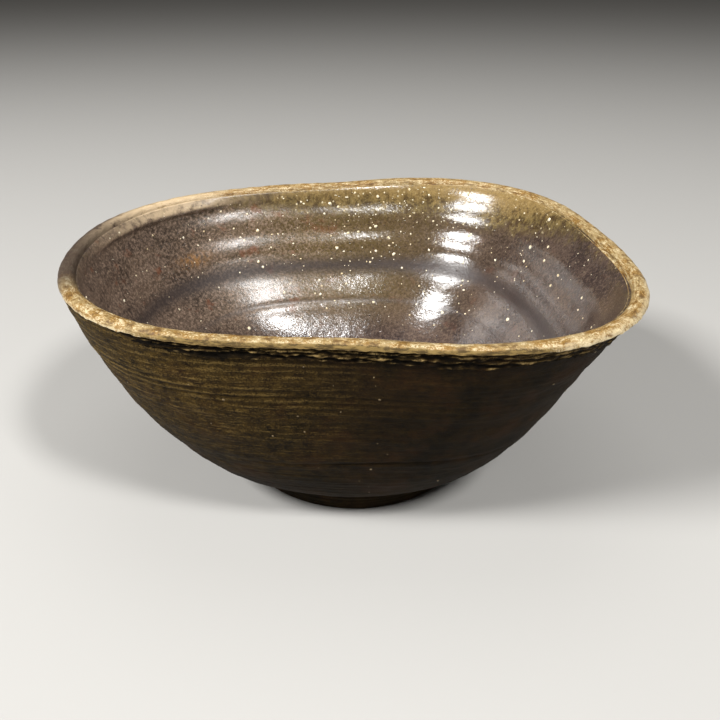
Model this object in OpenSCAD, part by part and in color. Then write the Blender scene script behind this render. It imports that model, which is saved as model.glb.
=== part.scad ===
// Hand-thrown matcha bowl with a squarish lip, wood fired and marked by natural ash.
// Millimetres, +Z up, +X along the long side of the lip, -Y towards the front.
// The origin is on the table, under the middle of the bowl's outline.
// The clay stands on a turned foot ring, and a folded roll of clay closes the wall at the lip.

/* [Lip seen from above] */
// Width of the lip from left to right, before the unevenness below
width = 147; // [120:0.1:180]
// Depth of the lip from front to back, before the unevenness below
depth = 124.5; // [105:0.1:155]
// How far the four soft corners are pushed out of a plain oval
corner_push = 3.4; // [0:0.1:4.5]
// Turn of the four corners away from the plain oval's diagonals, in degrees
corner_turn = 4.5; // [-10:0.5:10]
// Three-sided unevenness left by the potter's hands
three_lobe = 2.9; // [0:0.1:3.5]
// Direction of one high spot of the three-sided unevenness, in degrees
three_lobe_turn = 68; // [0:1:119]

/* [Lip seen from the side] */
// Height of the lip above the table
height = 65.4; // [52:0.1:80]
// Rise of two opposite corners and fall of the other two
saddle = 0.5; // [0:0.1:2]
// Rise of the lip towards the back
back_rise = 0.9; // [0:0.1:2]

/* [Lip roll] */
// Thickness of the lip with its ash glaze
lip_thickness = 4.4; // [3.4:0.01:5.4]
// Height of the flattened roll above the wall it closes
lip_height = 1.6; // [1.2:0.1:3.2]
// Greatest overhang of the folded roll over the outside of the wall
fold_overhang = 0.8; // [0.2:0.1:1.2]
// Direction in which the fold stands out most, in degrees
fold_side = 300; // [0:5:355]

/* [Wall and floor] */
// Thickness of the clay in the middle of the floor
floor_thickness = 4.5; // [3.5:0.01:7]
// Radius of the nearly level floor before the wall starts to climb
floor_radius = 24; // [18:0.1:28]
// Depth of the shallow dish in the middle of the floor
floor_dish = 1.2; // [0.4:0.1:2]
// How tightly the wall turns up from the foot, where more is a fuller belly
belly = 1; // [0.8:0.01:1.2]
// Extra fullness of the left wall over the right wall
lean = 0.25; // [0:0.01:0.3]

/* [Foot ring] */
// Radius of the foot ring where the body sits on it
foot_radius = 33.3; // [27:0.01:40]
// Height of the foot ring
foot_height = 6.8; // [5.6:0.01:9]
// Width of the foot ring's clay
foot_wall = 6.5; // [5:0.1:8]
// Inward slope of the foot ring's sides from the body to the table
foot_taper = 1.5; // [0.5:0.1:2.5]
// Bevel turned on both edges of the face it stands on
foot_bevel = 0.8; // [0.4:0.1:1.2]

/* [Glazes] */
// Thickness of the glossy coat inside
inner_glaze_thickness = 0.4; // [0.3:0.05:0.6]
// Thickness of the golden ash glaze that covers the lip
ash_glaze_thickness = 0.3; // [0.3:0.05:0.5]

/* [Feldspar grains] */
// Number of larger grains showing through the inner glaze
grains_inside = 26; // [6:1:30]
// Number of larger grains showing on the outside of the wall
grains_outside = 9; // [3:1:12]
// Radius of the smallest modelled grain
grain_small = 0.7; // [0.6:0.05:0.8]
// Radius of the largest modelled grain
grain_large = 1.1; // [0.9:0.05:1.2]

/* [Hidden] */

// Height of the floor where the wall starts to climb, and of its lowest point.
floor_height = foot_height + floor_thickness + floor_dish;
floor_middle = foot_height + floor_thickness;

// Points round each ring, and rings on each climbing surface.
round_steps = 72;
wall_steps = 16;
floor_steps = 4;
lip_steps = 9;

// Exponents of the wall's curve, outside and inside.
outer_curve = 0.55;
inner_curve = 0.5;

// The golden angle keeps scattered grains apart.
golden_angle = 137.508;
grain_sides = 8;
grain_seed = 11;

body_clay = [0.25, 0.2, 0.15];
foot_clay = [0.21, 0.17, 0.13];
lip_clay = [0.42, 0.33, 0.24];
dark_gloss = [0.42, 0.35, 0.31];
golden_ash = [0.72, 0.6, 0.39];
cream_stone = [0.87, 0.83, 0.75];

// ---------- outline and heights of the lip ----------

// Outermost radius of the lip in direction a, measured from the foot's axis.
function lip_radius(a) =
    (width + depth) / 4
    + (width - depth) / 4 * cos(2 * a)
    + corner_push * (1 - cos(4 * (a - corner_turn)))
    + three_lobe * cos(3 * (a - three_lobe_turn));

// Height of the lip's crest in direction a.
function crest(a) = height + saddle * sin(2 * a) + back_rise * sin(a);

// Height of the joint between the wall and the lip roll.
function joint(a) = crest(a) - lip_height;

// Overhang of the fold in direction a; it fades out on the far side.
function overhang(a) = fold_overhang * (0.55 + 0.45 * cos(a - fold_side));

function wall_top_radius(a) = lip_radius(a) - ash_glaze_thickness - overhang(a);
function mouth_radius(a) = lip_radius(a) - lip_thickness + ash_glaze_thickness;

// The lip is uneven, so the foot's axis stands a little off the middle of the bowl.
directions = [for (i = [0 : round_steps - 1]) i * 360 / round_steps];
lip_xs = [for (a = directions) lip_radius(a) * cos(a)];
lip_ys = [for (a = directions) lip_radius(a) * sin(a)];
foot_x = -(max(lip_xs) + min(lip_xs)) / 2;
foot_y = -(max(lip_ys) + min(lip_ys)) / 2;

// ---------- surfaces, as a point for each direction a and share s of the climb ----------

// Share of the way out that the wall has reached at share s of its climb.
function flare(a, s, curve) = pow(1 - pow(1 - s, belly - lean * cos(a)), curve);

function polar(a, r, z) = [r * cos(a), r * sin(a), z];

// Outside of the wall, from the foot ring to the lip.
function outer_point(a, s) = polar(
    a,
    foot_radius + (wall_top_radius(a) - foot_radius) * flare(a, s, outer_curve),
    foot_height + (joint(a) - foot_height) * s
);

// Inside of the wall from the floor's edge to the lip, drawn in by the thickness of a coat.
function inner_point(a, s, coat) = polar(
    a,
    floor_radius + (mouth_radius(a) - coat - floor_radius) * flare(a, s, inner_curve),
    floor_height + (joint(a) - floor_height) * s + coat * (1 - s)
);

// Floor from its middle (s = 0) to its edge (s = 1).
function floor_point(a, s, coat) = polar(
    a,
    floor_radius * s,
    floor_middle + floor_dish * s * s + coat
);

// Half-round section of the lip, from its outer foot (t = 0) over the crest to its inner foot.
function lip_point(a, t, coat) = polar(
    a,
    lip_radius(a) - lip_thickness / 2 + (lip_thickness / 2 - ash_glaze_thickness + coat) * cos(t),
    joint(a) + (lip_height - ash_glaze_thickness + coat) * sin(t)
);

// ---------- rings of points, in the order in which a surface climbs ----------

function ring(point_at) = [for (a = directions) point_at(a)];

// Shares of the climb, closer together low down where the wall turns fastest.
wall_shares = [for (k = [0 : wall_steps]) pow(k / wall_steps, 1.7)];
floor_shares = [for (k = [1 : floor_steps]) k / floor_steps];
lip_turns = [for (k = [0 : lip_steps]) k * 180 / lip_steps];

outer_wall_rings = [for (s = wall_shares) ring(function(a) outer_point(a, s))];

function floor_rings(coat) = [for (s = floor_shares) ring(function(a) floor_point(a, s, coat))];

function inner_wall_rings(coat) = [
    for (k = [1 : wall_steps]) ring(function(a) inner_point(a, wall_shares[k], coat))
];

function inside_rings(coat) = concat(floor_rings(coat), inner_wall_rings(coat));

function lip_rings(coat) = [for (t = lip_turns) ring(function(a) lip_point(a, t, coat))];

// Outer edge of the wall's top, which the roll overhangs.
wall_top_ring = ring(function(a) polar(a, wall_top_radius(a), joint(a)));

function reversed(list) = [for (k = [len(list) - 1 : -1 : 0]) list[k]];

// ---------- closed skins from rings ----------

// Two triangles for each step round the band between two rings. The dividing line always
// climbs the same way round, so pieces that share a surface share its facets too.
function band(lower, upper, climbing) = [
    for (i = [0 : round_steps - 1])
        let (
            j = (i + 1) % round_steps,
            a = lower * round_steps + i,
            b = lower * round_steps + j,
            c = upper * round_steps + j,
            d = upper * round_steps + i
        )
        each climbing ? [[a, c, b], [a, d, c]] : [[a, d, b], [b, d, c]]
];

// Of two rings at one height, the one that is further out counts as the higher.
function climbs(rings, k, next) =
    let (step = rings[next][0] - rings[k][0])
    abs(step.z) > 0.001 ? step.z > 0 : step.x > 0;

function flat_list(rings) = [for (r = rings) each r];

// A hollow ring of clay or glaze, whose last ring joins its first.
module closed_loop(rings) {
    n = len(rings);
    faces = [
        for (k = [0 : n - 1])
            let (next = (k + 1) % n)
            each band(k, next, climbs(rings, k, next))
    ];
    polyhedron(points = flat_list(rings), faces = faces);
}

// A shell whose first and last rings are closed by a fan round one middle point each.
module capped_shell(rings, first_middle, last_middle) {
    n = len(rings);
    first = n * round_steps;
    last = first + 1;
    sides = [for (k = [0 : n - 2]) each band(k, k + 1, climbs(rings, k, k + 1))];
    first_fan = [
        for (i = [0 : round_steps - 1]) [first, i, (i + 1) % round_steps]
    ];
    last_fan = [
        for (i = [0 : round_steps - 1])
            let (base = (n - 1) * round_steps)
            [last, base + (i + 1) % round_steps, base + i]
    ];
    polyhedron(
        points = concat(flat_list(rings), [first_middle, last_middle]),
        faces = concat(sides, first_fan, last_fan)
    );
}

// ---------- feldspar grains ----------

// Direction and share of the climb of grain number i of many, spread between two shares.
function grain_direction(i) = i * golden_angle;
function grain_share(i, many, low, high) = low + (high - low) * (i + 0.5) / many;

inside_radii = rands(grain_small, grain_large, grains_inside, grain_seed);
outside_radii = rands(grain_small, grain_large, grains_outside, grain_seed + 1);

module grain(place, radius, i) {
    translate(place) rotate([i * 31, i * 47, 0]) sphere(r = radius, $fn = grain_sides);
}

module inside_grain_shapes() {
    for (i = [0 : grains_inside - 1]) {
        share = grain_share(i, grains_inside, 0.2, 0.9);
        grain(inner_point(grain_direction(i), share, 0), inside_radii[i], i);
    }
}

module outside_grain_shapes() {
    for (i = [0 : grains_outside - 1]) {
        share = grain_share(i, grains_outside, 0.1, 0.85);
        grain(outer_point(grain_direction(i), share), outside_radii[i], i);
    }
}

// ---------- sub-parts ----------

module on_foot_axis() {
    translate([foot_x, foot_y, 0]) children();
}

module clay_wall() {
    capped_shell(
        concat(outer_wall_rings, reversed(inside_rings(0))),
        [0, 0, foot_height],
        [0, 0, floor_middle]
    );
}

module bowl_body() {
    color(body_clay) on_foot_axis() difference() {
        clay_wall();
        inside_grain_shapes();
        outside_grain_shapes();
    }
}

module rim_lip() {
    color(lip_clay) on_foot_axis() closed_loop(concat(lip_rings(0), [wall_top_ring]));
}

module foot_ring() {
    base_radius = foot_radius - foot_taper;
    inner_top = foot_radius - foot_wall;
    inner_base = inner_top + foot_taper / 2;
    color(foot_clay) on_foot_axis() rotate_extrude($fn = 96) polygon([
        [inner_base + foot_bevel, 0],
        [base_radius - foot_bevel, 0],
        [base_radius, foot_bevel],
        [foot_radius, foot_height],
        [inner_top, foot_height],
        [inner_base, foot_bevel],
    ]);
}

module inner_glaze() {
    color(dark_gloss) on_foot_axis() difference() {
        capped_shell(
            concat(inside_rings(0), reversed(inside_rings(inner_glaze_thickness))),
            [0, 0, floor_middle],
            [0, 0, floor_middle + inner_glaze_thickness]
        );
        inside_grain_shapes();
    }
}

module lip_ash_glaze() {
    color(golden_ash) on_foot_axis() closed_loop(
        concat(reversed(lip_rings(0)), lip_rings(ash_glaze_thickness))
    );
}

module feldspar_grains_inside() {
    color(cream_stone) on_foot_axis() inside_grain_shapes();
}

module feldspar_grains_outside() {
    color(cream_stone) on_foot_axis() outside_grain_shapes();
}

bowl_body();
rim_lip();
foot_ring();
inner_glaze();
lip_ash_glaze();
feldspar_grains_inside();
feldspar_grains_outside();
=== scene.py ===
"""Looks of a hand-thrown, wood-fired matcha bowl with an uneven squarish lip.

Sizes are in millimetres until a mesh is made. Directions round the bowl are angles about
the foot's axis: 0 is +X, and the front is -Y. A climb is a share from 0 at the foot or the
floor to 1 at the joint under the lip.
"""
import math

import bpy
import numpy as np
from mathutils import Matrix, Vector


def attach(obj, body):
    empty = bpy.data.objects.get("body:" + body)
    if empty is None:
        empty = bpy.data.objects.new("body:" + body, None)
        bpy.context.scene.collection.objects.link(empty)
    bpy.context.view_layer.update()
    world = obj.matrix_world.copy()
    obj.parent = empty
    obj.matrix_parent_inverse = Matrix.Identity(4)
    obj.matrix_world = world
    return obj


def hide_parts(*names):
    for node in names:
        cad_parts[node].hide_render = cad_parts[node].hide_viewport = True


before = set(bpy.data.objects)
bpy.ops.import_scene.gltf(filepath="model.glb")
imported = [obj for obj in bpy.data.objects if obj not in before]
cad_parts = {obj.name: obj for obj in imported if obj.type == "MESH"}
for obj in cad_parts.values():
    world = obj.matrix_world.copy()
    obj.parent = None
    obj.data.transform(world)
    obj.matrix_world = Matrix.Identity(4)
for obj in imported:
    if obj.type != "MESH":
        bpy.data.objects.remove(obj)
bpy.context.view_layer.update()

MM = 0.001
FULL_TURN = 2 * math.pi

# Points round each ring, and rings along each piece's section.
WALL_STEPS = 400
LIP_STEPS = 1000
FOOT_STEPS = 360
WALL_ROWS = 190
GLAZE_ROWS = 190
FLAP_ROWS = 62
COAT_ROWS = 44
ROLL_ROWS = 26
FOOT_ROWS = 110
HIDDEN_ROWS = 14

# The curve of the wall, as it was thrown.
BELLY = 1.0
LEAN = 0.25
OUTER_CURVE = 0.55
INNER_CURVE = 0.5
FLOOR_RADIUS = 24
FLOOR_HEIGHT = 12.5
FLOOR_DISH = 1.2

# The flattened lip roll, its fold and the coats.
LIP_HEIGHT = 1.6
LIP_THICKNESS = 4.4
LIP_CURL = 0.35
ASH_COAT = 0.3
GLAZE_COAT = 0.4
FOLD_OVERHANG = 0.8
FOLD_SIDE = math.radians(300)
FLAP_DEPTH = 8.0
COAT_DEPTH_INSIDE = 3.4

# Turns of the lip's section, in degrees: what the ash coat and the roll under it cover, the
# section's inner end, and how far the frost reaches over the outer edge.
COAT_TURNS = (-62, 176)
ROLL_TURNS = (-20, 168)
SECTION_END = 180.0
FROST_END = 72

# How far behind the inside's face the hidden skins of the clay and of the glaze run.
CLAY_BEHIND = 0.9
GLAZE_BEHIND = 0.6

# Heights of the marks on the wall, and how far apart its rings lie.
OUTER_RING_SPACING = 8.4
OUTER_GROOVE = 26.2
INNER_RING_SPACING = 8.2
INNER_RING_MIDDLE = 51
DEEP_GROOVE = 37.6
THIN_GROOVE = 29.5
BLUSH_HEIGHT = 47
LEDGE_DEPTH = 4.3

# Where the marks lie, in degrees round the bowl.
TORN_FRONT = 285
TEAR_DEEPENS_FROM = 258
WORN_FRONT = 272
GROOVED_FRONT = 277
FROSTED_FRONT = 235
FROSTED_RIGHT = 318
COMBED_LEFT = 215
PAINTED_LIGHT_LEFT = 208
GREY_LEFT = 180
DUSTY_LEFT = 170
DUSTY_LIP = 160
CLEAN_LEFT = 165
LEDGE_SIDE = 150
LIT_BEVEL_SIDE = 149
BLUSH_SIDE = 145
THIN_GROOVE_SIDE = 122
WARM_BACK = 98
ASHY_BACK = 92
ASHY_RIGHT = 44

# Feldspar stones: how many small ones, how deep they sink, and a modelled grain's reach.
INNER_STONES = 400
OUTER_STONES = 110
STONE_SINK = 0.2
STONE_FLATNESS = 0.6
GRAIN_REACH = 2.6

# The floor in millimetres; the lamps' aim and the view's place in metres; the tilt in degrees.
FLOOR_HALF = 4000.0
LAMP_AIM = (0, 0, 0.04)
VIEW_PLACE = (0.0037, -0.2084, 0.135)
VIEW_TILT_DOWN = 27
VIEW_LENS = 40
SENSOR_WIDTH = 36


# ---------- the frame's own measures ----------

def node_points(name):
    """Corner points of a CAD node's mesh, in millimetres."""
    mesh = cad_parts[name].data
    flat = np.empty(len(mesh.vertices) * 3, np.float32)
    mesh.vertices.foreach_get("co", flat)
    return flat.reshape(-1, 3).astype(float) / MM


def foot_measures():
    """Centre of the foot ring, its top radius and its height."""
    points = node_points("foot_ring")
    low = points.min(axis=0)
    high = points.max(axis=0)
    return (low + high) / 2 * [1, 1, 0], (high[0] - low[0]) / 2, high[2]


AXIS, FOOT_RADIUS, FOOT_HEIGHT = foot_measures()


def closed_curve(samples, orders=9):
    """Smooth closed curve through evenly spaced samples: their mean and first sines and cosines."""
    terms = np.fft.rfft(samples)[: orders + 1] / len(samples)
    terms[1:] *= 2

    def curve(a):
        """The curve's value at direction a, from its terms."""
        return sum((term * np.exp(1j * k * a)).real for k, term in enumerate(terms))

    return curve


def lip_curves(directions=72):
    """Outermost radius and crest height of the CAD lip, each as a curve of the direction."""
    x, y, z = (node_points("lip_ash_glaze") - AXIS).T
    turn = np.round(np.arctan2(y, x) / FULL_TURN * directions).astype(int) % directions
    radius = np.zeros(directions)
    crest = np.zeros(directions)
    np.maximum.at(radius, turn, np.hypot(x, y))
    np.maximum.at(crest, turn, z)
    return closed_curve(radius), closed_curve(crest)


lip_radius, crest = lip_curves()


# ---------- soft unevenness ----------

def waves(a, h, seed, turns, climb, count):
    """Soft random field of about -1 to 1.

    The sum of count sine waves, each with a whole number of turns round the bowl, up to
    turns, and a frequency up the wall of up to climb waves per millimetre.
    """
    random = np.random.default_rng(seed)
    rounds = random.integers(-turns, turns + 1, count)
    rises = random.uniform(-climb, climb, count)
    phases = random.uniform(0, FULL_TURN, count)
    field = sum(
        np.sin(k * a + FULL_TURN * rise * h + phase)
        for k, rise, phase in zip(rounds, rises, phases)
    )
    return field / math.sqrt(count)


def wander(a, seed, turns, count):
    """Soft random field of about -1 to 1 that changes with the direction alone."""
    return waves(a, 0, seed, turns, 0, count)


def turning_lines(a, h, seed, spacing, count=12):
    """Fine lines that a tool leaves on the wheel, of about -1 to 1.

    Sine waves of the height with spacings near the given one. Each wave's phase drifts
    slowly with the direction, so that lines run together and part again.
    """
    random = np.random.default_rng(seed)
    field = 0
    for _ in range(count):
        step = spacing * random.uniform(0.7, 1.5)
        drift = random.uniform(0.4, 1.6) * np.sin(random.integers(1, 5) * a + random.uniform(0, 7))
        field = field + np.sin(FULL_TURN * h / step + drift + random.uniform(0, FULL_TURN))
    return field / math.sqrt(count)


def swell(distance, width):
    """Bell shape that is 1 at no distance and fades over the width."""
    return np.exp(-((distance / width) ** 2))


def ease(value, start, end):
    """Smooth step from 0 at start to 1 at end."""
    share = np.clip((value - start) / (end - start), 0, 1)
    return share * share * (3 - 2 * share)


def angle_from(a, degrees):
    """Signed angle in degrees from a direction, between -180 and 180."""
    return (np.degrees(a) - degrees + 180) % 360 - 180


def near(a, degrees, width):
    """Bell shape round a direction, which fades over a width in degrees."""
    return swell(angle_from(a, degrees), width)


def facing(a, degrees, start, full):
    """Smooth step, from start to full, of the cosine of the angle from a direction."""
    return ease(np.cos(np.radians(angle_from(a, degrees))), start, full)


def arc(a, degrees, start, full, fade, end):
    """1 along an arc of the round and 0 beyond it, in degrees from a direction.

    It rises smoothly from start to full and falls from fade to end.
    """
    turn = angle_from(a, degrees)
    return ease(turn, start, full) * (1 - ease(turn, fade, end))


def unit(vectors):
    """The vectors at length 1. The tiny number keeps a vector of no length from a division by 0."""
    return vectors / (np.linalg.norm(vectors, axis=-1, keepdims=True) + 1e-9)


# ---------- the thrown surfaces ----------

def flare(a, s, curve):
    """Share of the way out that the wall has reached at share s of its climb."""
    return (1 - (1 - s) ** (BELLY - LEAN * np.cos(a))) ** curve


def joint(a):
    """Height of the wall's top, where the lip roll sits."""
    return crest(a) - LIP_HEIGHT


def overhang(a):
    """How far the lip roll stands out over the wall: most at the fold's side."""
    return FOLD_OVERHANG * (0.55 + 0.45 * np.cos(a - FOLD_SIDE))


def polar(a, r, z):
    """Points at direction a, radius r and height z about the foot's axis."""
    a, r, z = np.broadcast_arrays(a, r, z)
    return np.stack([AXIS[0] + r * np.cos(a), AXIS[1] + r * np.sin(a), z], axis=-1)


def outer_surface(a, s):
    """Outside of the wall: radius from the foot's to the lip's by the flare, height even."""
    top = lip_radius(a) - ASH_COAT - overhang(a)
    r = FOOT_RADIUS + (top - FOOT_RADIUS) * flare(a, s, OUTER_CURVE)
    return polar(a, r, FOOT_HEIGHT + (joint(a) - FOOT_HEIGHT) * s)


def inner_surface(a, s, coat=0):
    """Inside of the wall above the floor's edge, drawn in by a coat."""
    mouth = lip_radius(a) - LIP_THICKNESS + ASH_COAT - coat
    r = FLOOR_RADIUS + (mouth - FLOOR_RADIUS) * flare(a, s, INNER_CURVE)
    return polar(a, r, FLOOR_HEIGHT + (joint(a) - FLOOR_HEIGHT) * s + coat * (1 - s))


def floor_surface(a, s, coat=0):
    """Shallow dish: it rises with the square of the distance s from the middle."""
    return polar(a, FLOOR_RADIUS * s, FLOOR_HEIGHT - FLOOR_DISH * (1 - s * s) + coat)


def travel(points):
    """Distance travelled along a line of points, at each point."""
    steps = np.linalg.norm(np.diff(points, axis=0), axis=1)
    return np.concatenate([[0], np.cumsum(steps)])


def even_shares(surface, rows):
    """Shares of the climb that are evenly spaced along the surface, measured at the front."""
    fine = np.linspace(0, 1, 2000) ** 2
    travelled = travel(surface(np.full(2000, 1.5 * math.pi), fine))
    return np.interp(np.linspace(0, travelled[-1], rows), travelled, fine)


def directions(steps):
    """Evenly spaced directions round the bowl."""
    return np.arange(steps) * FULL_TURN / steps


def grid_of(surface, steps, shares, *extra):
    """Points of a surface for every share (rows) and every direction (columns)."""
    return surface(directions(steps)[None, :], shares[:, None], *extra)


def pushed(grid, depth):
    """The grid moved out along its own normals by depth.

    The normal is the cross product of the step round and the step along the rows.
    """
    around = np.roll(grid, -1, axis=1) - np.roll(grid, 1, axis=1)
    along = np.gradient(grid, axis=0)
    return grid + unit(np.cross(around, along)) * depth[..., None]


def radius_of(points):
    """Distance of each point from the foot's axis."""
    return np.hypot(points[..., 0] - AXIS[0], points[..., 1] - AXIS[1])


def grid_place(grid):
    """Direction of each point about the foot's axis, its height, and its depth below the crest."""
    x = grid[..., 0] - AXIS[0]
    y = grid[..., 1] - AXIS[1]
    a = np.arctan2(y, x) % FULL_TURN
    return a, grid[..., 2], crest(a) - grid[..., 2]


# ---------- relief of the surfaces ----------

def front_fold(a):
    """How strongly the folded clay under the lip shows: full at the front and right."""
    return arc(a, TORN_FRONT, -72, -40, 42, 66)


def wall_drift(a):
    """How far the rings outside wander up and down round the bowl."""
    return 0.9 * wander(a, seed=31, turns=3, count=6)


def inner_drift(a):
    """How far the rings and grooves inside wander up and down round the bowl."""
    return 0.55 * wander(a, seed=41, turns=3, count=6)


def comb_lines(a, z):
    """Fine turning lines outside, strongest on the left flank, as heights of -1 to 1."""
    patch = ease(waves(a, z, seed=35, turns=5, climb=0.04, count=14), -1.4, 0.9)
    left = 0.3 + 0.7 * facing(a, COMBED_LEFT, 0.0, 0.8)
    return turning_lines(a, z + wall_drift(a), seed=34, spacing=1.5) * patch * left


def wall_relief(grid):
    """How far each point of the outside stands proud of the smooth thrown wall."""
    a, z, below = grid_place(grid)
    drift = wall_drift(a)
    rings = 0.1 * np.sin(FULL_TURN * (z + drift) / OUTER_RING_SPACING) * ease(z, 9, 16)
    lumps = 0.14 * waves(a, z, seed=32, turns=8, climb=0.05, count=18)
    rough = 0.05 * waves(a, z, seed=33, turns=70, climb=0.3, count=50)
    combed = 0.07 * comb_lines(a, z)
    groove = -0.4 * swell(z - OUTER_GROOVE - 0.4 * drift, 0.6) * near(a, GROOVED_FRONT, 34)
    shoulder = -0.3 * swell(z - FOOT_HEIGHT - 0.6, 0.8)
    flap = front_fold(a) * (1 - ease(below, 6, 10))
    fade = ease(z, FOOT_HEIGHT, FOOT_HEIGHT + 1.5) * (1 - flap)
    return fade * (rings + lumps + rough + combed + groove) + shoulder - 0.1 * flap


def inner_ledge(a, below):
    """Bevel under the lip at the back left, which rises to a ragged edge and drops past it."""
    slow = 0.3 * wander(a, seed=44, turns=9, count=8)
    ragged = 0.12 * wander(a, seed=45, turns=60, count=20)
    past = below - LEDGE_DEPTH - slow - ragged
    shape = np.where(past < 0, ease(past, -3.0, 0.0), swell(past, 0.7))
    return 0.85 * arc(a, LEDGE_SIDE, -24, -12, 14, 34) * shape


def inside_relief(grid):
    """How far each point inside stands proud, towards the inside of the bowl.

    Broad finger rings, one deep groove, one thin groove, the ledge, a faint spiral on the
    floor and soft lumps all over.
    """
    a, z, below = grid_place(grid)
    r = radius_of(grid)
    level = z + inner_drift(a)
    upper = ease(level, 43, 46) * (1 - ease(below, 2.5, 0.5))
    rings = -0.2 * np.cos(FULL_TURN * (level - INNER_RING_MIDDLE) / INNER_RING_SPACING) * upper
    deep = -0.75 * swell(level - DEEP_GROOVE, 3.8)
    cut = -0.2 * swell(level - THIN_GROOVE, 0.8)
    burr = 0.12 * swell(level - THIN_GROOVE + 2, 1.3)
    thin = (cut + burr) * near(a, THIN_GROOVE_SIDE, 32)
    spiral = 0.16 * np.sin(FULL_TURN * r / 6 - a) * (1 - ease(r, 26, 34)) * ease(r, 1, 5)
    lumps = 0.1 * waves(a, z, seed=42, turns=10, climb=0.06, count=18)
    rough = 0.015 * waves(a, z, seed=43, turns=80, climb=0.4, count=60)
    wall = (rings + deep + thin + lumps + rough) * ease(z, 14, 18)
    return wall + spiral + inner_ledge(a, below)


# ---------- meshes ----------

def ring_faces(rows, steps, closed):
    """Four-sided faces between neighbouring rings; the last ring joins the first if closed."""
    bands = rows if closed else rows - 1
    i = np.arange(bands)[:, None]
    j = np.arange(steps)[None, :]
    up = (i + 1) % rows
    right = (j + 1) % steps
    corners = [i * steps + j, i * steps + right, up * steps + right, up * steps + j]
    return np.stack([c + 0 * (i + j) for c in corners], axis=-1).reshape(-1, 4)


def mesh_piece(name, points, quads, triangles, material, marks=None):
    """Object from points in millimetres, four- and three-sided faces, and marks.

    Marks are named numbers, one for each point, that the material reads.
    """
    mesh = bpy.data.meshes.new(name)
    mesh.vertices.add(len(points))
    mesh.vertices.foreach_set("co", (points * MM).astype(np.float32).ravel())
    corners = np.concatenate([quads.ravel(), triangles.ravel()]).astype(np.int32)
    sizes = np.concatenate([np.full(len(quads), 4), np.full(len(triangles), 3)])
    starts = np.concatenate([[0], np.cumsum(sizes)[:-1]])
    mesh.loops.add(len(corners))
    mesh.loops.foreach_set("vertex_index", corners)
    mesh.polygons.add(len(sizes))
    mesh.polygons.foreach_set("loop_start", starts.astype(np.int32))
    mesh.polygons.foreach_set("use_smooth", np.ones(len(sizes), bool))
    mesh.update(calc_edges=True)
    mesh.validate()
    for mark, values in (marks or {}).items():
        layer = mesh.attributes.new(mark, "FLOAT", "POINT")
        layer.data.foreach_set("value", values.astype(np.float32).ravel())
    piece = bpy.data.objects.new(name, mesh)
    bpy.context.scene.collection.objects.link(piece)
    mesh.materials.append(material)
    return piece


def fan(pole, ring_start, steps, forward):
    """Three-sided faces that close an end ring to a pole point, in the ring's order if forward."""
    j = np.arange(steps)
    here = ring_start + j
    there = ring_start + (j + 1) % steps
    order = [here, there] if forward else [there, here]
    return np.stack([*order, np.full(steps, pole)], axis=-1)


def shell(name, grid, material, marks):
    """Closed piece of rings, whose first and last are each closed to a point in their middle."""
    rows, steps = grid.shape[:2]
    poles = np.stack([grid[0].mean(axis=0), grid[-1].mean(axis=0)])
    first = rows * steps
    triangles = np.concatenate([
        fan(first, 0, steps, False),
        fan(first + 1, (rows - 1) * steps, steps, True),
    ])
    points = np.concatenate([grid.reshape(-1, 3), poles])
    full_marks = {
        mark: np.concatenate([values.ravel(), [values[0].mean(), values[-1].mean()]])
        for mark, values in marks.items()
    }
    return mesh_piece(name, points, ring_faces(rows, steps, False), triangles, material, full_marks)


def loop(name, grid, material, marks):
    """Closed ring-shaped piece whose last ring of points joins its first."""
    rows, steps = grid.shape[:2]
    no_triangles = np.empty((0, 3), int)
    return mesh_piece(
        name, grid.reshape(-1, 3), ring_faces(rows, steps, True), no_triangles, material, marks
    )


def stand_for(piece, node):
    """The piece takes a CAD node's place and moves with the bowl."""
    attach(piece, "root")
    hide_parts(node)
    return piece


# ---------- shader expressions ----------

class Value:
    """A number socket in a material, so that + - * and the larger of two make Math nodes."""

    def __init__(self, finish, socket):
        self.finish = finish
        self.socket = socket

    def _math(self, operation, *inputs):
        node = self.finish.node("ShaderNodeMath", {"operation": operation}, dict(enumerate(inputs)))
        return Value(self.finish, node.outputs[0])

    def __add__(self, other):
        return self._math("ADD", self, other)

    __radd__ = __add__

    def __sub__(self, other):
        return self._math("SUBTRACT", self, other)

    def __rsub__(self, other):
        return self._math("SUBTRACT", other, self)

    def __mul__(self, other):
        return self._math("MULTIPLY", self, other)

    __rmul__ = __mul__

    def most(self, other):
        """The larger of two values."""
        return self._math("MAXIMUM", self, other)

    def ease(self, start, end):
        """Smooth step from 0 at start to 1 at end."""
        node = self.finish.node(
            "ShaderNodeMapRange",
            {"interpolation_type": "SMOOTHSTEP"},
            {"Value": self, "From Min": start, "From Max": end, "To Min": 0.0, "To Max": 1.0},
        )
        return Value(self.finish, node.outputs["Result"])


def tone(red, green, blue):
    """Colour written as 0 to 255 on a screen, turned to the light it stands for."""
    def light(channel):
        """Light of one channel, by the screen's own curve."""
        share = channel / 255
        return share / 12.92 if share <= 0.04045 else ((share + 0.055) / 1.055) ** 2.4
    return (light(red), light(green), light(blue), 1.0)


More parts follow.
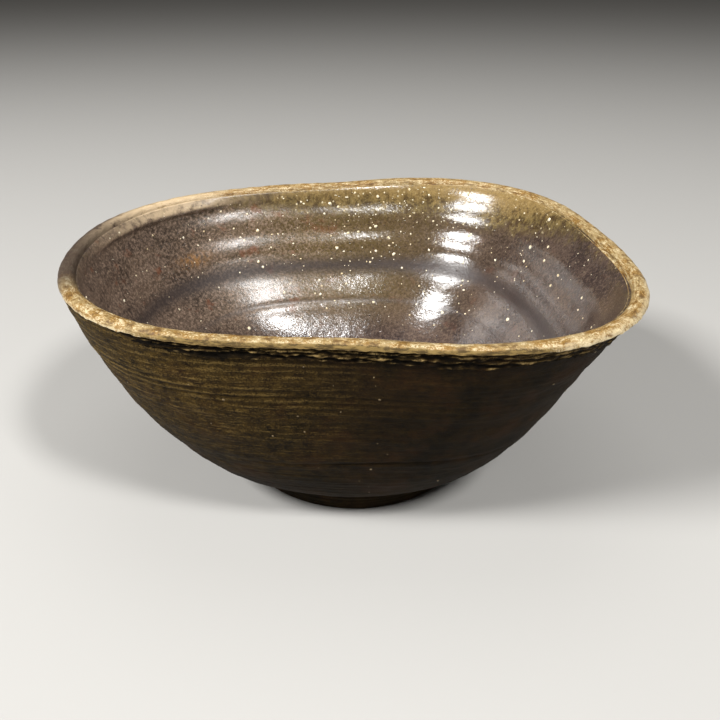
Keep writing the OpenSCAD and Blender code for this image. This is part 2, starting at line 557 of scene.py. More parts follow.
class Finish:
    """One material: its nodes, and the patterns that several finishes share."""

    def __init__(self, name, **constants):
        self.material = bpy.data.materials.new(name)
        self.material.use_nodes = True
        self.tree = self.material.node_tree
        self.tree.nodes.clear()
        self.shader = self.node("ShaderNodeBsdfPrincipled", {}, constants)
        self.node("ShaderNodeOutputMaterial", {}, {"Surface": self.shader.outputs[0]})
        self.place = self.node("ShaderNodeTexCoord").outputs["Object"]
        parts = self.node("ShaderNodeSeparateXYZ", {}, {0: self.place}).outputs
        self.x, self.y, self.z = (Value(self, part) for part in parts)

    def node(self, kind, settings=None, inputs=None):
        """New node of a kind, with its settings made first and then its sockets set or linked."""
        node = self.tree.nodes.new(kind)
        for name, value in (settings or {}).items():
            setattr(node, name, value)
        for key, value in (inputs or {}).items():
            socket = node.inputs[key]
            if isinstance(value, Value):
                value = value.socket
            if isinstance(value, bpy.types.NodeSocket):
                self.tree.links.new(value, socket)
            else:
                socket.default_value = value
        return node

    def mark(self, name):
        """A number that the mesh carries at each point."""
        node = self.node("ShaderNodeAttribute", {"attribute_name": name})
        return Value(self, node.outputs["Fac"])

    def stretched(self, along_x, along_y, along_z):
        """The place with each direction scaled, for patterns that run one way."""
        node = self.node(
            "ShaderNodeVectorMath",
            {"operation": "MULTIPLY"},
            {0: self.place, 1: (along_x, along_y, along_z)},
        )
        return node.outputs[0]

    def ringwise(self, mark, share):
        """A place whose patterns run round the bowl: slow along the ring, full scale across.

        The mark counts millimetres across the ring.
        """
        across = self.mark(mark) * MM
        node = self.node(
            "ShaderNodeCombineXYZ", {}, {0: self.x * share, 1: self.y * share, 2: across}
        )
        return node.outputs[0]

    def noise(self, size, detail, roughness, place=None):
        """Cloudy noise from 0 to 1 with features of about size millimetres.

        Detail is how many finer layers it has, and roughness how strong they are.
        """
        node = self.node(
            "ShaderNodeTexNoise",
            {},
            {
                "Vector": place or self.place,
                "Scale": 1 / (size * MM),
                "Detail": detail,
                "Roughness": roughness,
            },
        )
        return Value(self, node.outputs[0])

    def specks(self, size):
        """Distance to the nearest of scattered points, in sizes, and that point's cell colour.

        The points are about size millimetres apart.
        """
        node = self.node(
            "ShaderNodeTexVoronoi",
            {"feature": "F1"},
            {"Vector": self.place, "Scale": 1 / (size * MM)},
        )
        return Value(self, node.outputs["Distance"]), node.outputs["Color"]

    def chance(self, cell_colour):
        """A random number from 0 to 1 for each speck, from its cell colour."""
        parts = self.node("ShaderNodeSeparateColor", {}, {0: cell_colour})
        return Value(self, parts.outputs[0])

    def mix(self, share, first, second):
        """Colour between two colours: the first at share 0, the second at share 1."""
        node = self.node(
            "ShaderNodeMix", {"data_type": "RGBA"}, {0: share, 6: first, 7: second}
        )
        return node.outputs[2]

    def bump(self, height, distance, strength=1.0, normal=None):
        """Normal of fine relief: height is 0 to 1, and distance is its depth in millimetres."""
        inputs = {"Height": height, "Distance": distance * MM, "Strength": strength}
        if normal is not None:
            inputs["Normal"] = normal
        return self.node("ShaderNodeBump", {}, inputs).outputs[0]

    def wear(self, colour, roughness, normal):
        """Links the finished colour, roughness and normal to the shader."""
        self.tree.links.new(colour, self.shader.inputs["Base Color"])
        self.tree.links.new(roughness.socket, self.shader.inputs["Roughness"])
        self.tree.links.new(normal, self.shader.inputs["Normal"])
        return self.material


# ---------- finishes ----------

PURPLE_BROWN = tone(87, 71, 61)
DEEP_BROWN = tone(46, 35, 33)
WARM_BROWN = tone(92, 76, 42)
DUSTY_MAUVE = tone(170, 145, 125)
RUST_PATCH = tone(112, 62, 36)
RUST_GOLD = tone(158, 112, 58)
# Colour of the painted light on the upward bevel under the lip.
PAINTED_LIGHT_TAN = tone(206, 182, 148)
OLIVE_ASH = tone(108, 92, 54)
BROWN_ASH = tone(66, 50, 24)
GOLD_ASH = tone(148, 122, 74)
PALE_ASH = tone(206, 190, 152)
LIP_OCHRE = tone(136, 102, 46)
LIP_TAN = tone(150, 126, 82)
LIP_CREAM = tone(212, 196, 160)
LIP_RUST = tone(78, 52, 28)
LIP_OLIVE = tone(70, 58, 30)
LIP_GREY = tone(56, 46, 42)
CLAY_DARK = tone(10, 7, 4)
CLAY_BROWN = tone(27, 18, 9)
CLAY_OLIVE = tone(70, 54, 24)
CLAY_LIGHT = tone(122, 100, 56)
CLAY_RUST = tone(52, 32, 15)
STONE_CREAM = tone(236, 226, 200)
STONE_WARM = tone(214, 192, 148)
STONE_ASHY = tone(128, 110, 76)
STONE_BROWN = tone(92, 74, 48)
PALE_FLOOR = tone(172, 170, 166)
WARM_WHITE = (0.9, 0.86, 0.8, 1.0)


def gloss_tint(finish):
    """Purple-brown gloss: clouds of deep brown, a fine pale network and rusty patches."""
    clouds = finish.noise(13.0, 4.0, 0.6)
    network = finish.noise(0.9, 5.0, 0.8)
    freckle = finish.noise(0.5, 3.0, 0.7)
    dusty = finish.mark("dusty")
    colour = finish.mix(clouds.ease(0.38, 0.64) * (0.6 + 0.4 * dusty), DEEP_BROWN, PURPLE_BROWN)
    colour = finish.mix(finish.mark("warm") * 0.85, colour, WARM_BROWN)
    colour = finish.mix(network.ease(0.42, 0.66) * (0.2 + 0.5 * dusty), colour, DUSTY_MAUVE)
    colour = finish.mix((1 - freckle.ease(0.34, 0.5)) * 0.75, colour, DEEP_BROWN)
    rust = finish.noise(7.0, 4.0, 0.65).ease(0.58, 0.7) * (0.15 + 0.45 * dusty)
    colour = finish.mix(rust, colour, RUST_PATCH)
    blotch = finish.mark("blush") * finish.noise(1.2, 4.0, 0.7).ease(0.4, 0.62)
    return finish.mix(blotch * 0.75, colour, RUST_GOLD)


def ash_tint(finish, reach):
    """Fly ash: brown and olive at its thin lower reach, gold and cream flecked near the lip."""
    mottle = finish.noise(2.0, 5.0, 0.72)
    grain = finish.noise(0.6, 4.0, 0.75)
    colour = finish.mix(mottle.ease(0.4, 0.6), BROWN_ASH, OLIVE_ASH)
    gold = (reach + (mottle - 0.5) * 10.0).ease(2.0, 9.5)
    colour = finish.mix(gold * 0.8, colour, GOLD_ASH)
    colour = finish.mix((1 - grain.ease(0.34, 0.48)) * 0.6, colour, DEEP_BROWN)
    return finish.mix(grain.ease(0.56, 0.72) * (0.25 + 0.4 * gold), colour, PALE_ASH)


def ash_cover(finish):
    """Reach of the ash with ragged clouds and drips added, and its share of the surface."""
    drips = finish.noise(1.4, 3.0, 0.6, finish.stretched(1.0, 1.0, 0.22))
    cloud = finish.noise(5.5, 4.0, 0.6)
    reach = finish.mark("ash") + (cloud - 0.5) * 8.0 + (drips - 0.5) * 9.0
    return reach, reach.ease(-2.5, 3.5)


def glossy_inside():
    """Purple-brown gloss inside, with fly ash coming down from the lip."""
    finish = Finish("purple_brown_gloss", IOR=1.65)
    reach, ash = ash_cover(finish)
    colour = finish.mix(ash * 0.9, gloss_tint(finish), ash_tint(finish, reach))
    cloudy = finish.noise(3.0, 5.0, 0.7).ease(0.3, 0.55)
    # Painted light: the bevel under the lip at the back left, which faces up, is painted paler.
    colour = finish.mix(finish.mark("pale") * cloudy * 0.85, colour, PAINTED_LIGHT_TAN)
    distance, cell = finish.specks(1.7)
    kind = finish.chance(cell)
    fleck = (1 - distance.ease(0.1, 0.26)) * kind.ease(0.66, 0.76) * (0.12 + 0.88 * ash)
    pit = (1 - distance.ease(0.08, 0.2)) * (1 - kind.ease(0.16, 0.24))
    colour = finish.mix(fleck * 0.9, colour, PALE_ASH)
    colour = finish.mix(pit * 0.7, colour, DEEP_BROWN)
    peel = finish.noise(0.8, 5.0, 0.75)
    # Painted shade: the grooves are darkened towards deep brown, and the same mark also makes them
    # rougher.
    colour = finish.mix(finish.mark("hollow") * (0.5 + 0.7 * peel), colour, DEEP_BROWN)
    # Only roughness here: duller where dusty and in the grooves.
    dry_and_painted_light = 0.14 * finish.mark("dusty") + 0.3 * finish.mark("hollow")
    roughness = 0.1 + 0.12 * peel + 0.05 * ash + dry_and_painted_light
    relief = finish.bump(peel, 0.04)
    relief = finish.bump(finish.noise(1.2, 3.0, 0.6), 0.07, 1.0, relief)
    relief = finish.bump(finish.noise(3.2, 3.0, 0.6), 0.05, 0.6, relief)
    relief = finish.bump(fleck - pit, 0.08, 1.0, relief)
    return finish.wear(colour, roughness, relief)


def golden_lip():
    """Ochre and tan ash on the lip, cream where it is thick, frosted along the lower edge."""
    finish = Finish("golden_ash_glaze", **{"IOR": 1.48, "Specular IOR Level": 0.3})
    around = finish.ringwise("across", 0.28)
    streaks = finish.noise(0.9, 4.0, 0.75, around)
    clouds = finish.noise(4.5, 4.0, 0.65)
    grain = finish.noise(0.42, 4.0, 0.78)
    colour = finish.mix(clouds.ease(0.4, 0.58), LIP_OCHRE, LIP_TAN)
    colour = finish.mix((1 - streaks.ease(0.36, 0.5)) * 0.75, colour, LIP_RUST)
    colour = finish.mix((grain * 0.5 + streaks * 0.5).ease(0.5, 0.6) * 0.8, colour, LIP_CREAM)
    colour = finish.mix((1 - grain.ease(0.34, 0.46)) * 0.6, colour, LIP_OLIVE)
    frost = finish.mark("frost") * finish.noise(0.9, 4.0, 0.7).ease(0.36, 0.56)
    colour = finish.mix(frost * 0.8, colour, LIP_CREAM)
    colour = finish.mix(finish.mark("thin") * 0.92, colour, LIP_GREY)
    # Painted light on the upward bevel at the back left.
    colour = finish.mix(finish.mark("pale") * clouds.ease(0.3, 0.5) * 0.8, colour, PAINTED_LIGHT_TAN)
    torn = (finish.mark("bare") + (grain + clouds - 1.0) * 1.3).ease(0.3, 0.7)
    colour = finish.mix(torn, colour, finish.mix(streaks.ease(0.42, 0.6), CLAY_OLIVE, CLAY_LIGHT))
    cover = (finish.mark("ash") + (clouds - 0.5) * 4.0 + (grain - 0.5) * 3.0 + 2.0).ease(-0.6, 1.2)
    colour = finish.mix(cover, gloss_tint(finish), colour)
    roughness = 0.34 + 0.3 * grain + 0.3 * torn
    relief = finish.bump(grain, 0.14)
    relief = finish.bump(streaks, 0.16, 0.8, relief)
    return finish.wear(colour, roughness, relief)


def turned_clay(name, rusty, painted_ridge_highlight=0.0):
    """Bare fired clay in dark brown, olive and rust; painted light on the lit side and ridges,
    painted shade in creases.

    The last argument is how strong the painted highlight on the torn edges is.
    """
    finish = Finish(name, **{"IOR": 1.45, "Specular IOR Level": 0.05})
    clouds = finish.noise(16.0, 5.0, 0.6)
    mottle = finish.noise(2.4, 5.0, 0.75)
    grit = finish.noise(0.4, 4.0, 0.75)
    thin_rings = finish.stretched(0.1, 0.1, 1.0)
    lines = finish.noise(0.5, 5.0, 0.8, thin_rings)
    wide_lines = finish.noise(2.1, 3.0, 0.6, thin_rings)
    # Painted light: this mark is high on the lit left flank and on proud ridges, and the olive,
    # threads and grit lighten with it.
    dry_and_painted_light = finish.mark("dry_and_painted_light")
    colour = finish.mix(clouds.ease(0.36, 0.64), CLAY_DARK, CLAY_BROWN)
    colour = finish.mix(mottle.ease(0.3, 0.75) * (0.2 + 0.8 * dry_and_painted_light), colour, CLAY_OLIVE)
    colour = finish.mix(finish.noise(8.0, 3.0, 0.6).ease(0.5, 0.68) * rusty, colour, CLAY_RUST)
    thread = (finish.mark("ridge") * 0.05 + lines * 0.6 + grit * 0.4).ease(0.5, 0.62)
    colour = finish.mix(thread * (0.04 + 0.5 * dry_and_painted_light), colour, CLAY_LIGHT)
    colour = finish.mix(grit.ease(0.6, 0.72) * (0.08 + 0.3 * dry_and_painted_light), colour, CLAY_LIGHT)
    colour = finish.mix((1 - grit.ease(0.34, 0.48)) * 0.7, colour, CLAY_DARK)
    # Painted shade: darkened in creases, where the body meets the foot and between the flap's
    # layers.
    colour = finish.mix(finish.mark("painted_crease_shade") * 0.9, colour, CLAY_DARK)
    # Painted highlight: the torn ridges of the flap are lightened towards tan.
    if painted_ridge_highlight > 0:
        edge = finish.mark("painted_ridge_highlight") * thread.most(mottle.ease(0.4, 0.6)) * painted_ridge_highlight
        colour = finish.mix(edge, colour, LIP_TAN)
    roughness = 0.42 + 0.36 * grit
    relief = finish.bump(lines, 0.2)
    relief = finish.bump(wide_lines, 0.25, 0.7, relief)
    relief = finish.bump(grit, 0.16, 1.0, relief)
    return finish.wear(colour, roughness, relief)


def melted_stone(name, light, warm):
    """Feldspar, a little warmer in patches, melted to a satin skin."""
    finish = Finish(name, IOR=1.5)
    patches = finish.noise(1.2, 3.0, 0.6)
    colour = finish.mix(patches.ease(0.4, 0.65), light, warm)
    roughness = 0.3 + 0.2 * patches
    return finish.wear(colour, roughness, finish.bump(finish.noise(0.25, 3.0, 0.6), 0.04))


# ---------- pieces ----------

def underside_rings(edge):
    """Rings from near the middle out to the body's lower edge, raised a little in the middle."""
    share = np.linspace(0.04, 0.97, 18)[:, None, None]
    middle = AXIS + [0, 0, FOOT_HEIGHT]
    rings = middle + (edge - middle) * share
    rings[..., 2] = FOOT_HEIGHT + 0.35 * swell(share[..., 0] * FOOT_RADIUS, 9)
    return rings


def clay_body(material):
    """Wall and floor as one closed skin.

    Rings run out under the floor, up the outside with its relief, over the wall's top and down
    the inside, a little way into the clay behind the glaze.
    """
    shares = even_shares(outer_surface, WALL_ROWS)
    outside = grid_of(outer_surface, WALL_STEPS, shares)
    outside = pushed(outside, wall_relief(outside))
    underside = underside_rings(outside[0])
    inside_shares = even_shares(inner_surface, HIDDEN_ROWS)[::-1]
    inside = grid_of(inner_surface, WALL_STEPS, inside_shares, -CLAY_BEHIND)
    floor = grid_of(floor_surface, WALL_STEPS, np.linspace(0.9, 0.1, 5), -CLAY_BEHIND)
    grid = np.concatenate([underside, outside, inside, floor])
    a, z, _ = grid_place(grid)
    row = np.arange(len(grid))[:, None]
    shown = (z < joint(a) - 0.2) & (row < len(underside) + WALL_ROWS)
    marks = {
        # Painted light: the left flank, which the front-left lamp lights, is painted lighter, more
        # so up the wall.
        "dry_and_painted_light": 1.25 * facing(a, PAINTED_LIGHT_LEFT, 0.3, 0.95) * ease(z, 10, 52),
        "ridge": np.where(shown, comb_lines(a, z), 0),
        # Painted shade where the body meets the foot.
        "painted_crease_shade": swell(z - FOOT_HEIGHT - 0.3, 0.8),
    }
    return stand_for(shell("thrown_clay_wall", grid, material, marks), "bowl_body")


def ash_reach(a, below):
    """Millimetres above the ash's lower edge: it runs deep at the back and back right."""
    back = 9.0 * near(a, ASHY_BACK, 38)
    right = 8.5 * near(a, ASHY_RIGHT, 26)
    left = 1.8 * near(a, CLEAN_LEFT, 30)
    return 1.6 + back + right - left - below


def gloss_marks(grid):
    """Marks of the inner gloss: ash, painted shade in the grooves, dust, a rust blush, painted
    light on the bevel and a warm stretch.
    """
    a, z, below = grid_place(grid)
    level = z + inner_drift(a)
    # Painted shade along the upper side of the deep groove and in the thin groove.
    deep = 0.95 * swell(level - DEEP_GROOVE - 2.4, 2.6)
    thin = 0.4 * swell(level - THIN_GROOVE, 0.8)
    return {
        "ash": ash_reach(a, below),
        "hollow": deep + thin,
        "dusty": facing(a, DUSTY_LEFT, 0.0, 0.8) * ease(z, 16, 34),
        "blush": near(a, BLUSH_SIDE, 5) * swell(z - BLUSH_HEIGHT, 2.0),
        # Painted light on the upward-facing bevel under the lip.
        "pale": near(a, LIT_BEVEL_SIDE, 20) * (1 - ease(below, 3.4, 4.6)),
        "warm": near(a, WARM_BACK, 42) * ease(z, 18, 34),
    }


def glaze_coat(material):
    """Glossy coat inside: up its hidden back, then down the face and over the floor."""
    wall_shares = even_shares(inner_surface, GLAZE_ROWS)
    floor_shares = np.linspace(0.03, 0.98, 34)
    face = np.concatenate([
        grid_of(floor_surface, WALL_STEPS, floor_shares, GLAZE_COAT),
        grid_of(inner_surface, WALL_STEPS, wall_shares, GLAZE_COAT),
    ])
    face = pushed(face, -inside_relief(face))
    back_floor = grid_of(floor_surface, WALL_STEPS, np.linspace(0.1, 0.9, 4), -GLAZE_BEHIND)
    back_shares = even_shares(inner_surface, HIDDEN_ROWS)
    back_wall = grid_of(inner_surface, WALL_STEPS, back_shares, -GLAZE_BEHIND)
    grid = np.concatenate([back_floor, back_wall, face[::-1]])
    piece = shell("inner_gloss_coat", grid, material, gloss_marks(grid))
    return stand_for(piece, "inner_glaze")


def lip_section(t):
    """Inward distance from the outline and depth below the crest round the lip, at turn t.

    t runs from below 0, tucked under the outer edge, over the crest at 90 degrees to 180 at
    the inner edge. It is a flattened half ellipse over a tighter curl.
    """
    half = LIP_THICKNESS / 2
    squared = np.sign(np.cos(t)) * np.abs(np.cos(t)) ** 0.85
    rise = np.where(t < 0, LIP_CURL, LIP_HEIGHT)
    return half * (1 - squared), LIP_HEIGHT - rise * np.sin(t)


def lip_relief(a, t):
    """Small unevenness of the lip: soft dents all over and a nibbled outer edge."""
    dents = 0.1 * waves(a, t, seed=51, turns=14, climb=0.1, count=16)
    rough = 0.05 * waves(a, t * 3, seed=52, turns=90, climb=0.4, count=40)
    nibbled = 0.1 * swell(np.degrees(t) + 20, 30) * wander(a, seed=53, turns=230, count=60)
    return dents + rough + nibbled - 0.1


def lip_rings(sink, turns, rows):
    """Rings over the lip between two turns of its section, sunk by a distance."""
    a = directions(LIP_STEPS)[None, :]
    t = np.radians(np.linspace(*turns, rows))[:, None]
    inward, depth = lip_section(t)
    grid = polar(a, lip_radius(a) - inward, crest(a) - depth)
    return pushed(grid, lip_relief(a, t) - sink)


def down_inside(depths, coat):
    """Rings on the inside wall at depths below the crest."""
    a = directions(LIP_STEPS)[None, :]
    climb = joint(a) - FLOOR_HEIGHT
    return inner_surface(a, (climb + LIP_HEIGHT - depths[:, None]) / climb, coat)


def joined(first, last, rows):
    """Straight hidden rows that join two rings."""
    share = np.linspace(0, 1, rows + 2)[1:-1, None, None]
    return first * (1 - share) + last * share


def coat_marks(grid):
    """Marks of the lip's coat, whose first rows run over the lip and whose others lie inside."""
    a, z, below = grid_place(grid)
    turned = np.full((len(grid), 1), SECTION_END)
    turned[:COAT_ROWS, 0] = np.linspace(*COAT_TURNS, COAT_ROWS)
    edge_frost = ease(below, 0.9, 1.7) * (0.35 + 0.65 * facing(a, FROSTED_FRONT, 0.3, 0.9))
    top_frost = 0.7 * arc(a, FROSTED_RIGHT, -24, -6, 16, 34) * ease(below, 0.1, 0.6)
    return {
        "ash": ash_reach(a, below),
        "across": 1.6 * below + 0.8 * (lip_radius(a) - radius_of(grid)),
        "thin": arc(a, GREY_LEFT, -34, -14, 16, 34),
        "dusty": near(a, DUSTY_LIP, 40),
        "blush": np.zeros_like(z),
        # Painted light on the upward-facing bevel under the lip.
        "pale": near(a, LIT_BEVEL_SIDE, 20) * ease(turned, 60, 110),
        "bare": arc(a, WORN_FRONT, -52, -30, 22, 44) * (1 - ease(turned, 18, 66)),
        "warm": near(a, WARM_BACK, 42),
        "frost": np.where(turned > FROST_END, 0, edge_frost + top_frost),
    }


def lip_coat(material):
    """Golden coat over the lip, which thins out under the gloss a little way down inside."""
    over = lip_rings(0, COAT_TURNS, COAT_ROWS)
    down = down_inside(np.linspace(LIP_HEIGHT + 0.2, COAT_DEPTH_INSIDE, 6), GLAZE_COAT)
    thinning = np.linspace(0.0, -0.5, 6)[:, None]
    down = pushed(down, inside_relief(down) + thinning)
    grid = np.concatenate([over, down, joined(down[-1], over[0], 6)])
    piece = loop("lip_golden_coat", grid, material, coat_marks(grid))
    return stand_for(piece, "lip_ash_glaze")


def tear(a, number, middle, swing):
    """Depth below the crest of one torn edge: a slow swing and a fine ragged line."""
    slow = swing * wander(a, seed=200 + number, turns=14, count=12)
    ragged = 0.22 * wander(a, seed=210 + number, turns=90, count=30)
    fine = 0.12 * wander(a, seed=220 + number, turns=300, count=50)
    return middle + slow + ragged + fine


def flap_relief(a, below):
    """How far the torn flap stands proud of the wall, as three overlapping layers.

    Each layer swells towards its own lower edge and drops sharply past it. Past the last
    edge, and away from the front, the flap dives into the wall.
    """
    right = np.clip(angle_from(a, TEAR_DEEPENS_FROM), 0, 50) / 50
    edges = [
        tear(a, 1, 2.5 + 0.7 * right, 0.25),
        tear(a, 2, 3.5 + 1.3 * right, 0.4),
        tear(a, 3, 4.7 + 1.9 * right, 0.6),
    ]
    proud = 0.78
    start = LIP_HEIGHT + 0.2
    relief = 0
    for edge in edges:
        inside = ease(below, start - 0.1, start + 0.1) * (1 - ease(below, edge - 0.08, edge + 0.1))
        share = np.clip((below - start) / np.maximum(edge - start, 0.3), 0, 1)
        relief = relief + inside * (proud - 0.5 * (1 - share) ** 0.7)
        start = edge
        proud -= 0.14
    grit = 0.12 * waves(a, below, seed=24, turns=200, climb=0.6, count=60)
    lumps = 0.07 * waves(a, below, seed=25, turns=60, climb=0.25, count=30)
    past = ease(below, edges[-1] - 0.05, edges[-1] + 0.5)
    return (relief + grit + lumps) * (1 - past) - 0.4 * past - 0.8 * (1 - front_fold(a))


def lip_clay(material):
    """Folded clay of the lip: the torn flap up the outside, then the roll under its coat."""
    a = directions(LIP_STEPS)[None, :]
    below = np.linspace(FLAP_DEPTH, LIP_HEIGHT + 0.1, FLAP_ROWS)[:, None]
    climb = joint(a) - FOOT_HEIGHT
    flap = outer_surface(a, (climb + LIP_HEIGHT - below) / climb)
    flap = pushed(flap, flap_relief(a, below))
    roll = lip_rings(ASH_COAT, ROLL_TURNS, ROLL_ROWS)
    grid = np.concatenate([flap, roll, joined(roll[-1], flap[0], 8)])
    a, _, below = grid_place(grid)
    relief = flap_relief(a, below)
    torn = relief + 0.22 * waves(a, below, seed=27, turns=110, climb=1.6, count=70)
    marks = {
        # Painted light: the flap's proud ridges are painted lighter.
        "dry_and_painted_light": 0.8 * ease(relief, 0.25, 0.65),
        "ridge": waves(a, below, seed=26, turns=200, climb=0.5, count=40),
        # Painted shade in the flap's crevices, where it stands least proud.
        "painted_crease_shade": 1 - ease(relief, 0.1, 0.4),
        # Painted highlight along the torn ridges.
        "painted_ridge_highlight": ease(torn, 0.45, 0.9),
    }
    return stand_for(loop("folded_lip_clay", grid, material, marks), "rim_lip")


def foot_section(rows):
    """Radii and heights, evenly spaced round the foot ring's section.

    Up the leaning outer side, in under the body, down the inner side and back over the flat
    face that stands on the table. Radii are given from the ring's widest.
    """
    outer_side = [[-2.3, 0.0], [-1.5, 0.8], [-1.0, 3.0], [-0.6, 4.6], [-0.1, FOOT_HEIGHT]]
    inner_side = [[-6.5, FOOT_HEIGHT], [-6.1, 3.5], [-5.75, 0.8], [-4.95, 0.0]]
    closed = np.array(outer_side + inner_side + outer_side[:1]) + [FOOT_RADIUS, 0]
    travelled = travel(closed)
    where = np.linspace(0, travelled[-1], rows, endpoint=False)
    r = np.interp(where, travelled, closed[:, 0])
    z = np.interp(where, travelled, closed[:, 1])
    return r[:, None], z[:, None]


def foot(material):
    """Turned foot ring, with fine turning lines on its sides."""
    r, z = foot_section(FOOT_ROWS)
    a = directions(FOOT_STEPS)[None, :]
    lines = turning_lines(a, z, seed=62, spacing=1.2)
    lumps = waves(a, z, seed=61, turns=12, climb=0.2, count=16)
    sides = ease(z, 0.3, 1.2) * (1 - ease(z, FOOT_HEIGHT - 0.9, FOOT_HEIGHT - 0.2))
    grid = pushed(polar(a, r, z), (0.1 * lumps + 0.07 * lines) * sides)
    # Painted shade at the top of the foot, under the body.
    painted_crease_shade = swell(grid[..., 2] - FOOT_HEIGHT, 1.0)
    marks = {"dry_and_painted_light": np.full_like(painted_crease_shade, 0.05), "ridge": lines, "painted_crease_shade": painted_crease_shade}
    return stand_for(loop("turned_foot_ring", grid, material, marks), "foot_ring")


def grain_centres(node):
    """Middle of each grain in a CAD node: its points fall in groups far apart from each other."""
    points = np.unique(node_points(node).round(3), axis=0)
    together = np.linalg.norm(points[:, None] - points[None], axis=2) < GRAIN_REACH
    group = together.argmax(axis=1)
    return np.array([points[group == g].mean(axis=0) for g in np.unique(group)])


def unit_stone():
    """Ball of 7 sides and 3 rings with a point at each end, as points and faces."""
    sides = 7
    turn = directions(sides)[None, :]
    tilt = np.radians([-45, 0, 45])[:, None]
    rings = len(tilt)
    ball = np.stack([
        np.cos(tilt) * np.cos(turn), np.cos(tilt) * np.sin(turn), np.sin(tilt) + 0 * turn
    ], axis=-1)
    points = np.concatenate([ball.reshape(-1, 3), [[0, 0, -1], [0, 0, 1]]])
    pole = rings * sides
    triangles = np.concatenate([
        fan(pole, 0, sides, False), fan(pole + 1, pole - sides, sides, True)
    ])
    return points, ring_faces(rings, sides, False), triangles


def stones(name, groups, material, seed):
    """Separate stones as one piece: each a low ball, squeezed, flattened and turned at random.

    A group holds the centres, the normals and the radii of its stones.
    """
    random = np.random.default_rng(seed)
    centres, normals, radii = (np.concatenate(values) for values in zip(*groups))
    points, quads, triangles = unit_stone()
    count = len(centres)
    any_way = [0.31, 0.17, 0.93]
    side = unit(np.cross(normals, any_way))
    other = np.cross(normals, side)
    spin = random.uniform(0, FULL_TURN, count)[:, None]
    first = side * np.cos(spin) + other * np.sin(spin)
    second = other * np.cos(spin) - side * np.sin(spin)
    rough = random.uniform(0.8, 1.2, (count, len(points), 1))
    stretch = random.uniform(0.7, 1.0, (count, 1, 1))
    local = points[None] * rough * radii[:, None, None]
    placed = (
        centres[:, None]
        + local[..., :1] * first[:, None]
        + local[..., 1:2] * stretch * second[:, None]
        + local[..., 2:] * STONE_FLATNESS * normals[:, None]
    )
    shift = (np.arange(count) * len(points))[:, None, None]
    return mesh_piece(
        name,
        placed.reshape(-1, 3),
        (quads[None] + shift).reshape(-1, 4),
        (triangles[None] + shift).reshape(-1, 3),
        material,
    )


def surface_spots(surface, a, s):
    """Points on a surface at directions a and shares s, and its unit normals there."""
    small = 0.001
    place = surface(a, s)
    normal = np.cross(surface(a + small, s) - place, surface(a, s + small) - place)
    return place, unit(normal)


def lifted(place, normal, relief, sink):
    """Places moved out along their normals by the relief there, less how deep the stones sink."""
    return place + normal * (relief(place[None])[0] - sink)[:, None]


def inner_stones(material):
    """Feldspar inside: the modelled grains, and many small ones, thickest on the back wall."""
    random = np.random.default_rng(71)
    back = np.radians(random.normal(88, 44, INNER_STONES))
    anywhere = random.uniform(0, FULL_TURN, INNER_STONES)
    a = np.where(random.random(INNER_STONES) < 0.72, back, anywhere)
    s = np.clip(random.beta(2.6, 1.3, INNER_STONES), 0.02, 0.97)
    place, outward = surface_spots(lambda a, s: inner_surface(a, s, GLAZE_COAT), a, s)
    radii = np.clip(random.lognormal(-1.32, 0.5, INNER_STONES), 0.12, 0.75)
    place = lifted(place, -outward, inside_relief, STONE_SINK * radii)
    large = grain_centres("feldspar_grains_inside")
    large_normal = unit(AXIS + [0, 0, 60] - large)
    large = lifted(large, large_normal, inside_relief, 0.1 - GLAZE_COAT)
    large_radii = random.uniform(0.45, 0.7, len(large))
    groups = [(place, -outward, radii), (large, large_normal, large_radii)]
    piece = stones("inner_feldspar", groups, material, 72)
    return stand_for(piece, "feldspar_grains_inside")


def outer_stones(material):
    """Feldspar outside: the modelled grains and a thin scatter of small ones."""
    random = np.random.default_rng(81)
    a = random.uniform(0, FULL_TURN, OUTER_STONES)
    s = random.uniform(0.05, 0.93, OUTER_STONES)
    place, outward = surface_spots(outer_surface, a, s)
    radii = np.clip(random.lognormal(-1.6, 0.4, OUTER_STONES), 0.1, 0.45)
    place = lifted(place, outward, wall_relief, STONE_SINK * radii)
    large = grain_centres("feldspar_grains_outside")
    large_normal = unit(large - AXIS - [0, 0, 55])
    large = lifted(large, large_normal, wall_relief, 0.15)
    large_radii = random.uniform(0.4, 0.6, len(large))
    groups = [(place, outward, radii), (large, large_normal, large_radii)]
    piece = stones("outer_feldspar", groups, material, 82)
    return stand_for(piece, "feldspar_grains_outside")


# ---------- stage ----------

def floor_plane():
    """Plain pale floor under the bowl."""
    square = [[-1, -1, 0], [1, -1, 0], [1, 1, 0], [-1, 1, 0]]
    corners = FLOOR_HALF * np.array(square)
    finish = Finish("pale_floor", **{"Base Color": PALE_FLOOR, "Roughness": 0.7})
    quads = np.array([[0, 1, 2, 3]])
    piece = mesh_piece("floor", corners, quads, np.empty((0, 3), int), finish.material)


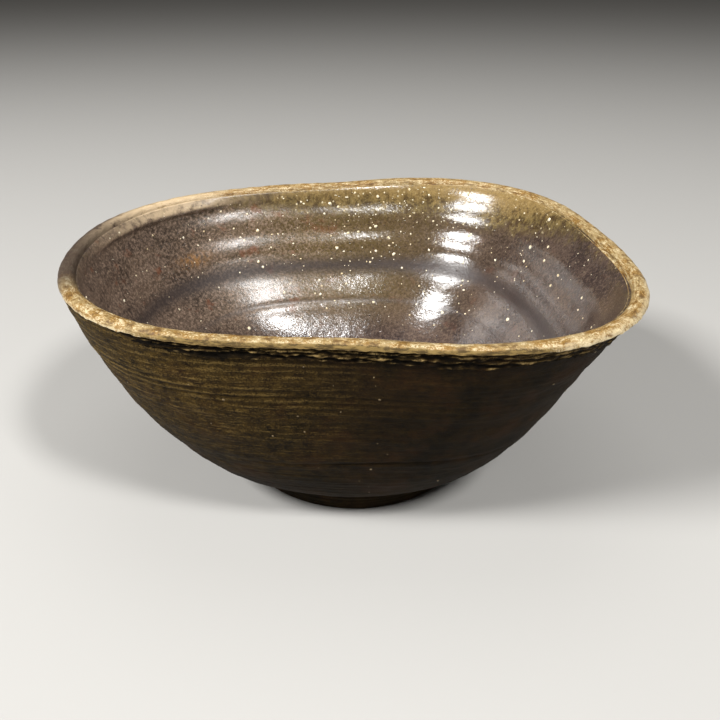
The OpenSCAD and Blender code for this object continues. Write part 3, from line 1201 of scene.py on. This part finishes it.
def soft_lamp(name, azimuth, elevation, distance, width, height, power):
    """Soft lamp that faces the bowl from a direction, in degrees, metres and watts."""
    lamp = bpy.data.lights.new(name, "AREA")
    lamp.shape = "RECTANGLE"
    lamp.size = width
    lamp.size_y = height
    lamp.energy = power
    turn, tilt = math.radians(azimuth), math.radians(elevation)
    holder = bpy.data.objects.new(name, lamp)
    holder.location = distance * Vector((
        math.cos(tilt) * math.cos(turn), math.cos(tilt) * math.sin(turn), math.sin(tilt)
    ))
    aim = Vector(LAMP_AIM) - holder.location
    holder.rotation_euler = aim.to_track_quat("-Z", "Y").to_euler()
    bpy.context.scene.collection.objects.link(holder)


def studio():
    """Two soft lamps in front, a broad one overhead, and a faint even surround."""
    soft_lamp("left_lamp", -147, 43, 1.3, 0.36, 0.24, 24.0)
    soft_lamp("right_lamp", -54, 50, 1.3, 0.15, 0.26, 15.0)
    soft_lamp("top_lamp", 90, 80, 1.2, 0.8, 0.8, 3.0)
    world = bpy.data.worlds.new("surround")
    world.use_nodes = True
    backdrop = world.node_tree.nodes["Background"]
    backdrop.inputs["Color"].default_value = WARM_WHITE
    backdrop.inputs["Strength"].default_value = 0.1
    bpy.context.scene.world = world
    bpy.context.scene.view_settings.view_transform = "Standard"


def camera():
    """Camera in front of the bowl, higher than the lip, that looks down on it."""
    lens = bpy.data.cameras.new("front_view")
    lens.lens = VIEW_LENS
    lens.sensor_width = SENSOR_WIDTH
    lens.clip_start = 0.01
    holder = bpy.data.objects.new("front_view", lens)
    holder.location = VIEW_PLACE
    holder.rotation_euler = (math.radians(90 - VIEW_TILT_DOWN), 0, 0)
    bpy.context.scene.collection.objects.link(holder)
    bpy.context.scene.camera = holder


clay_body(turned_clay("turned_body_clay", 0.3))
glaze_coat(glossy_inside())
lip_coat(golden_lip())
# The folded clay gets a painted highlight on its torn edges.
lip_clay(turned_clay("folded_clay", 0.2, 0.9))
foot(turned_clay("bare_foot_clay", 0.4))
inner_stones(melted_stone("cream_feldspar", STONE_CREAM, STONE_WARM))
outer_stones(melted_stone("ashy_feldspar", STONE_ASHY, STONE_BROWN))
floor_plane()
studio()
camera()
